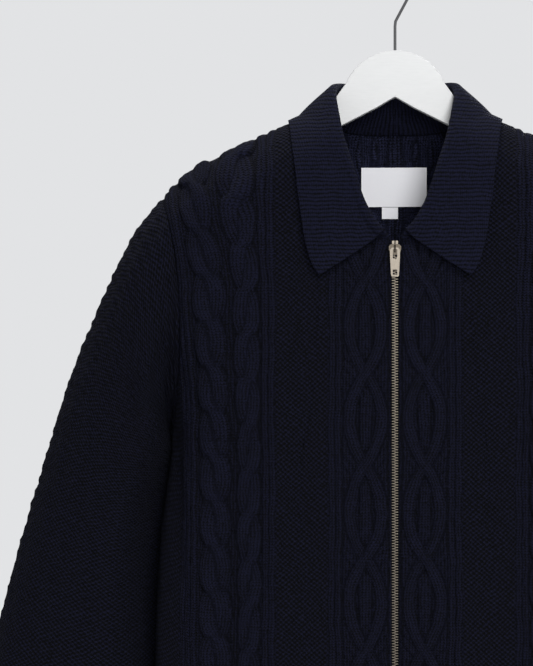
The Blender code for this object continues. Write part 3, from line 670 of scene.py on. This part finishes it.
def make_collar(material):
    columns = COLLAR_COLUMNS
    points, along = collar_grid(columns)
    sides = np.where(np.arange(columns + 1) < columns // 2, -1.0, 1.0)
    steps = np.linalg.norm(np.diff(points, axis=1), axis=-1)
    across = np.concatenate([np.zeros((columns + 1, 1)), np.cumsum(steps, axis=1)], axis=1)
    points = points * np.stack([sides, np.ones_like(sides), np.ones_like(sides)], axis=-1)[:, None, :]
    run = np.linalg.norm(np.diff(points[:, COLLAR_MIDDLE], axis=0), axis=-1)
    run = np.concatenate([[0], np.cumsum(run)])
    run = np.abs(run - run[columns // 2])[:, None] + 0 * across
    level = ease(along, 0.30, 0.62)[:, None]
    run = run * (1 - level) - points[..., 2] * level
    ribs = np.abs(np.sin(math.pi * run / COLLAR_RIB))
    # The ribs' height handed on here paints the colour darker between ribs, as painted shade.
    knit = {"wale": across, "course": run, "moss": 0 * run, "height": 0.35 + 0.45 * ribs}
    obj = cloth("knit_collar", points, knit, (0, 1, 0), material, material, thick=0.0028)
    place_piece(obj, "knit", "collar")
    return obj


# ---------------------------------------------------------------- zip
def front_y(drop):
    place = np.array([FRONT_EDGE])
    level = np.array([drop])
    return float(body_xyz(place, under_at(place, level, -1), -1)[0, 1])


def add_box(bm, size, centre, turn=0.0, bevel=0.0):
    made = bmesh.ops.create_cube(bm, size=1)["verts"]
    bmesh.ops.scale(bm, verts=made, vec=size)
    if bevel:
        edges = list({e for v in made for e in v.link_edges})
        done = bmesh.ops.bevel(bm, geom=made + edges, offset=bevel, offset_type="OFFSET", segments=1,
                               profile=0.5, affect="EDGES", material=-1)
        made = list({v for f in done["faces"] for v in f.verts} | {v for v in made if v.is_valid})
    if turn:
        bmesh.ops.rotate(bm, verts=made, matrix=Matrix.Rotation(turn, 3, "Z"))
    bmesh.ops.translate(bm, verts=made, vec=centre)
    return made


def finish_mesh(bm, name, material, smooth_angle=40):
    mesh = bpy.data.meshes.new(name)
    bm.to_mesh(mesh)
    bm.free()
    mesh.materials.append(material)
    mesh.shade_smooth()
    mesh.set_sharp_from_angle(angle=math.radians(smooth_angle))
    obj = bpy.data.objects.new(name, mesh)
    bpy.context.scene.collection.objects.link(obj)
    return obj


TOOTH_PITCH = 0.00257         # on one tape; the other's teeth lie half way between
TOOTH = (0.0038, 0.0026, 0.00105)
TOOTH_OUT = 0.0013            # its middle, from the zip's line
TOOTH_BEVEL = 0.00025


def make_chain(material):
    """Two rows of metal teeth, each tooth a half step from its neighbours on the other tape."""
    bm = bmesh.new()
    count = int((CHAIN_END - SLIDER_TOP - SLIDER_LENGTH) / TOOTH_PITCH) - 1
    for k in range(count):
        for side in (-1, 1):
            drop = SLIDER_TOP + SLIDER_LENGTH + 0.0018 + (k + 0.25 * side) * TOOTH_PITCH
            y = front_y(drop) + 0.0020
            add_box(bm, TOOTH, (side * TOOTH_OUT, y, -drop), bevel=TOOTH_BEVEL)
    return finish_mesh(bm, "zip_teeth", material)


# ---------------------------------------------------------------- materials
def linear(code):
    """A hex sRGB colour as linear red, green, blue and alpha."""
    parts = [int(code[i:i + 2], 16) / 255 for i in (1, 3, 5)]
    return tuple(c / 12.92 if c <= 0.04045 else ((c + 0.055) / 1.055) ** 2.4 for c in parts) + (1.0,)


def add_node(tree, kind, settings=(), values=(), links=()):
    """A node with its settings, its sockets' values, and its inputs' links."""
    made = tree.nodes.new(kind)
    for key, value in dict(settings).items():
        setattr(made, key, value)
    for key, value in dict(values).items():
        made.inputs[key].default_value = value
    for key, source in dict(links).items():
        tree.links.new(source, made.inputs[key])
    return made


def new_material(name, **values):
    material = bpy.data.materials.new(name)
    material.use_nodes = True
    tree = material.node_tree
    shader = tree.nodes["Principled BSDF"]
    for key, value in values.items():
        shader.inputs[key.replace("_", " ")].default_value = value
    return material, tree, shader


def noise(tree, place, scale, detail, **values):
    """A noise texture's factor at a place."""
    values.update(Scale=scale, Detail=detail)
    return add_node(tree, "ShaderNodeTexNoise", values=values, links={"Vector": place}).outputs["Fac"]


def sine(tree, source, period, shift=0.0):
    """Sine of a length over a period."""
    turned = add_node(tree, "ShaderNodeMath", {"operation": "MULTIPLY_ADD"},
                      {1: 2 * math.pi / period, 2: shift}, {0: source})
    return add_node(tree, "ShaderNodeMath", {"operation": "SINE"}, {}, {0: turned.outputs[0]}).outputs[0]


def math_node(tree, operation, first, second):
    values, links = {}, {}
    for key, item in ((0, first), (1, second)):
        if isinstance(item, (int, float)):
            values[key] = item
        else:
            links[key] = item
    return add_node(tree, "ShaderNodeMath", {"operation": operation}, values, links).outputs[0]


# Shares of the colour's tone: the stitch pattern paints shade between stitches, the flecks are the yarn's
# own uneven colour, and the height paints shade in the low places of the relief.
STITCH_SHADE_SHARE, FLECK_SHARE, HEIGHT_SHADE_SHARE = 0.60, 0.95, 0.16    # of the tone
TONE_DARK, TONE_LIGHT = 0.56, 0.90                            # ends of its ramp


def wool_knit(name, dark, light, sheen, ribbed=False):
    """Woollen knit of soft spun yarn: matt, with a faint bluish nap and flecks, its colour painted darker
    between stitches and in the relief's low places as painted shade.
    """
    material, tree, shader = new_material(name)
    shader.inputs["Roughness"].default_value = 0.95
    shader.inputs["Specular IOR Level"].default_value = 0.15
    shader.inputs["Sheen Weight"].default_value = sheen
    shader.inputs["Sheen Roughness"].default_value = 0.5
    shader.inputs["Sheen Tint"].default_value = linear("#5c6694")
    wale, course, moss, height = (
        add_node(tree, "ShaderNodeAttribute", {"attribute_name": word}).outputs["Fac"]
        for word in ("wale", "course", "moss", "height"))
    place = add_node(tree, "ShaderNodeTexCoord").outputs["Object"]
    cloud = noise(tree, place, 60.0, 2.0)
    fleck = noise(tree, place, 420.0, 3.0, Roughness=0.7)
    # the hand's unevenness shifts the stitches a little
    shift = math_node(tree, "MULTIPLY", math_node(tree, "SUBTRACT", cloud, 0.5), 0.0040)
    wale = math_node(tree, "ADD", wale, shift)
    course = math_node(tree, "ADD", course, shift)
    # The stitch pattern goes into the colour as well as into the bump; its dark parts are painted shade
    # between ribs and stitches.
    if ribbed:
        rib = math_node(tree, "ABSOLUTE", sine(tree, course, 2 * COLLAR_RIB), 0)
        purl = math_node(tree, "ABSOLUTE", sine(tree, wale, 2 * COURSE), 0)
        stitches = math_node(tree, "ADD", math_node(tree, "MULTIPLY", rib, 0.7),
                             math_node(tree, "MULTIPLY", purl, 0.3))
    else:
        ridge = math_node(tree, "ABSOLUTE", sine(tree, wale, 2 * WALE), 0)
        slope = math_node(tree, "ABSOLUTE", sine(tree, wale, 2 * WALE, math.pi / 2), 0)
        slanted = math_node(tree, "ADD", course, math_node(tree, "MULTIPLY", slope, COURSE / 2))
        rows = math_node(tree, "ABSOLUTE", sine(tree, slanted, 2 * COURSE), 0)
        plain = math_node(tree, "ADD", math_node(tree, "MULTIPLY", ridge, 0.5),
                          math_node(tree, "MULTIPLY", rows, 0.5))
        dots = math_node(tree, "MULTIPLY", sine(tree, wale, MOSS_WIDE), sine(tree, course, MOSS_TALL))
        dots = math_node(tree, "ADD", math_node(tree, "MULTIPLY", dots, 0.5), 0.5)
        stitches = add_node(tree, "ShaderNodeMix", {"data_type": "FLOAT"},
                            links={"Factor": moss, "A": plain, "B": dots}).outputs["Result"]
    # Painted shade between stitches and in low places, over the yarn's own flecks.
    tone = math_node(tree, "ADD", math_node(tree, "MULTIPLY", stitches, STITCH_SHADE_SHARE),
                     math_node(tree, "MULTIPLY", fleck, FLECK_SHARE))
    tone = math_node(tree, "ADD", tone, math_node(tree, "MULTIPLY", height, HEIGHT_SHADE_SHARE))
    tone = math_node(tree, "MULTIPLY", tone, 0.8)
    ramp = add_node(tree, "ShaderNodeValToRGB", links={"Fac": tone})
    ramp.color_ramp.elements[0].position = TONE_DARK
    ramp.color_ramp.elements[0].color = linear(dark)
    ramp.color_ramp.elements[1].position = TONE_LIGHT
    ramp.color_ramp.elements[1].color = linear(light)
    tree.links.new(ramp.outputs["Color"], shader.inputs["Base Color"])
    deep = 0.0010 if ribbed else 0.0022
    yarn = add_node(tree, "ShaderNodeBump", values={"Strength": 1.0, "Distance": deep},
                    links={"Height": stitches})
    fuzz = add_node(tree, "ShaderNodeBump", values={"Strength": 1.0, "Distance": 0.0012},
                    links={"Height": fleck, "Normal": yarn.outputs["Normal"]})
    tree.links.new(fuzz.outputs["Normal"], shader.inputs["Normal"])
    return material


def plated_metal(name, colour):
    """Nickel-plated brass: pale, slightly warm and softly brushed by wear."""
    material, tree, shader = new_material(name, Metallic=1.0)
    shader.inputs["Base Color"].default_value = linear(colour)
    place = add_node(tree, "ShaderNodeTexCoord").outputs["Object"]
    wear = noise(tree, place, 900.0, 3.0)
    rough = add_node(tree, "ShaderNodeMapRange", values={"To Min": 0.36, "To Max": 0.55},
                     links={"Value": wear})
    tree.links.new(rough.outputs["Result"], shader.inputs["Roughness"])
    bump = add_node(tree, "ShaderNodeBump", values={"Strength": 0.15, "Distance": 0.0001},
                    links={"Height": wear})
    tree.links.new(bump.outputs["Normal"], shader.inputs["Normal"])
    return material


def satin_ribbon():
    """Woven white satin: fine warp floats, so a soft lilac-white gloss across the weave."""
    material, tree, shader = new_material("white woven satin", Roughness=0.48)
    place = add_node(tree, "ShaderNodeTexCoord").outputs["Object"]
    stretched = add_node(tree, "ShaderNodeMapping", values={"Scale": (1.0, 1.0, 8.0)},
                         links={"Vector": place})
    weave = noise(tree, stretched.outputs["Vector"], 420.0, 2.0)
    ramp = add_node(tree, "ShaderNodeValToRGB", links={"Fac": weave})
    ramp.color_ramp.elements[0].color = linear("#f3f3fb")
    ramp.color_ramp.elements[1].color = linear("#fdfdff")
    tree.links.new(ramp.outputs["Color"], shader.inputs["Base Color"])
    bump = add_node(tree, "ShaderNodeBump", values={"Strength": 0.25, "Distance": 0.0001},
                    links={"Height": weave})
    tree.links.new(bump.outputs["Normal"], shader.inputs["Normal"])
    return material


def painted_wood():
    """White satin paint sprayed on a flat board: even, with a trace of grain and brushed-on softness."""
    material, tree, shader = new_material("white painted board", Roughness=0.38)
    place = add_node(tree, "ShaderNodeTexCoord").outputs["Object"]
    stretched = add_node(tree, "ShaderNodeMapping", values={"Scale": (0.12, 1.0, 1.0)},
                         links={"Vector": place})
    grain = noise(tree, stretched.outputs["Vector"], 700.0, 3.0)
    ramp = add_node(tree, "ShaderNodeValToRGB", links={"Fac": grain})
    ramp.color_ramp.elements[0].color = linear("#e0e1e1")
    ramp.color_ramp.elements[1].color = linear("#eaebeb")
    tree.links.new(ramp.outputs["Color"], shader.inputs["Base Color"])
    bump = add_node(tree, "ShaderNodeBump", values={"Strength": 0.12, "Distance": 0.0001},
                    links={"Height": grain})
    tree.links.new(bump.outputs["Normal"], shader.inputs["Normal"])
    return material


def drawn_steel():
    """Bright drawn steel wire, with fine lines along it."""
    material, tree, shader = new_material("drawn steel wire", Metallic=1.0)
    shader.inputs["Base Color"].default_value = linear("#9b9b9d")
    place = add_node(tree, "ShaderNodeTexCoord").outputs["Object"]
    lines = noise(tree, place, 1500.0, 2.0)
    rough = add_node(tree, "ShaderNodeMapRange", values={"To Min": 0.22, "To Max": 0.4},
                     links={"Value": lines})
    tree.links.new(rough.outputs["Result"], shader.inputs["Roughness"])
    return material


def woven_tape():
    """Zip tape: close navy herringbone weave, matt."""
    material, tree, shader = new_material("navy zip tape", Roughness=0.85)
    place = add_node(tree, "ShaderNodeTexCoord").outputs["Object"]
    weave = add_node(tree, "ShaderNodeTexWave", {"bands_direction": "DIAGONAL"},
                     {"Scale": 900.0, "Distortion": 0.5}, {"Vector": place})
    ramp = add_node(tree, "ShaderNodeValToRGB", links={"Fac": weave.outputs["Fac"]})
    ramp.color_ramp.elements[0].color = linear("#060816")
    ramp.color_ramp.elements[1].color = linear("#121a38")
    tree.links.new(ramp.outputs["Color"], shader.inputs["Base Color"])
    bump = add_node(tree, "ShaderNodeBump", values={"Strength": 0.4, "Distance": 0.0002},
                    links={"Height": weave.outputs["Fac"]})
    tree.links.new(bump.outputs["Normal"], shader.inputs["Normal"])
    return material


def pale_floor_paint():
    """Matt pale studio floor."""
    material, tree, shader = new_material("pale floor", Roughness=0.9)
    place = add_node(tree, "ShaderNodeTexCoord").outputs["Object"]
    cloud = add_node(tree, "ShaderNodeTexNoise", values={"Scale": 3.0}, links={"Vector": place})
    ramp = add_node(tree, "ShaderNodeValToRGB", links={"Fac": cloud.outputs["Fac"]})
    ramp.color_ramp.elements[0].color = linear("#dcdde0")
    ramp.color_ramp.elements[1].color = linear("#e2e3e6")
    tree.links.new(ramp.outputs["Color"], shader.inputs["Base Color"])
    return material


# ---------------------------------------------------------------- stage
def make_camera():
    """Level camera in front of the zip's line, turned to the part of the jacket that the photo shows."""
    camera = bpy.data.cameras.new("camera")
    camera.sensor_fit = "VERTICAL"
    camera.sensor_height = 24.0
    camera.lens = camera.sensor_height / 1000 * EYE_DISTANCE / (IMAGE_HEIGHT * METRES_PER_PIXEL) * 1000
    camera.clip_end = 30
    obj = bpy.data.objects.new("camera", camera)
    obj.location = (0, FRONT_Y - EYE_DISTANCE, -EYE_DROP)
    aside = (IMAGE_WIDTH / 2 - CENTRE_LINE_PIXEL) * METRES_PER_PIXEL
    obj.rotation_euler = (math.pi / 2, 0, -math.atan2(aside, EYE_DISTANCE))
    bpy.context.scene.collection.objects.link(obj)
    bpy.context.scene.camera = obj


def add_light(name, place, aim, size, power, colour="#ffffff"):
    light = bpy.data.lights.new(name, "AREA")
    light.shape = "DISK"
    light.size = size
    light.energy = power
    light.color = linear(colour)[:3]
    obj = bpy.data.objects.new(name, light)
    obj.location = place
    obj.rotation_euler = (Vector(aim) - Vector(place)).to_track_quat("-Z", "Y").to_euler()
    bpy.context.scene.collection.objects.link(obj)


def make_stage():
    scene = bpy.context.scene
    scene.view_settings.view_transform = "Standard"
    world = bpy.data.worlds.new("studio")
    scene.world = world
    world.use_nodes = True
    tree = world.node_tree
    tree.nodes["Background"].inputs["Color"].default_value = linear("#e2e3e5")
    # the walls of the studio are seen pale, and give less light than they would if they were lamps
    seen = add_node(tree, "ShaderNodeLightPath").outputs["Is Camera Ray"]
    strength = add_node(tree, "ShaderNodeMapRange", values={"To Min": 0.32, "To Max": 1.0},
                        links={"Value": seen})
    tree.links.new(strength.outputs["Result"], tree.nodes["Background"].inputs["Strength"])
    bm = bmesh.new()
    bmesh.ops.create_circle(bm, cap_ends=True, segments=96, radius=1.6)
    bmesh.ops.translate(bm, verts=bm.verts[:], vec=(0, 0, -1.15))
    floor = finish_mesh(bm, "floor", pale_floor_paint())
    add_light("key", (0.9, -2.0, 1.4), (0, 0, -0.4), 1.0, 27)
    add_light("front", (0.35, -2.6, 0.1), (0, 0, -0.35), 1.0, 26)
    add_light("side", (-2.2, -0.9, 0.6), (-0.3, 0, -0.45), 1.0, 3)
    add_light("top", (-0.2, 0.6, 1.7), (0, 0, -0.4), 1.0, 20)
    add_light("behind", (0.5, 2.6, 0.6), (0, 0, -0.4), 1.4, 45)


# ---------------------------------------------------------------- all of it
def paint_node(name, material):
    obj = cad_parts[name]
    obj.data.materials.clear()
    obj.data.materials.append(material)


make_camera()
make_stage()
knit = wool_knit("navy wool knit", "#010102", "#15172c", 0.03)
reverse_knit = wool_knit("navy wool knit, reverse side", "#05060a", "#2a2d48", 0.05)
collar_knit = wool_knit("navy wool rib", "#020305", "#14162b", 0.04, ribbed=True)
metal = plated_metal("pale nickel plate", "#8f877c")
# A darker copy of the nickel plate for the slider's body: the darkness is painted shade.
shaded_slider_metal = plated_metal("nickel plate, painted darker for shade", "#5f584f")
satin = satin_ribbon()
make_front("knit_front_left", -1, knit, reverse_knit)
make_front("knit_front_right", 1, knit, reverse_knit)
make_back(knit, reverse_knit)
make_sleeve("knit_sleeve_left", -1, knit, reverse_knit)
make_sleeve("knit_sleeve_right", 1, knit, reverse_knit)
make_collar(collar_knit)
place_piece(make_chain(metal), "zip_metal", "zip_chain")
for node in ("zip_pull_tab", "zip_stop_left", "zip_stop_right", "zip_box"):
    paint_node(node, metal)
# The slider gets the darker copy of the nickel plate, as painted shade.
paint_node("zip_slider", shaded_slider_metal)
for node in ("zip_tape_left", "zip_tape_right"):
    paint_node(node, woven_tape())
for node in ("neck_label", "size_tab"):
    paint_node(node, satin)
paint_node("hanger_board", painted_wood())
paint_node("hanger_hook", drawn_steel())
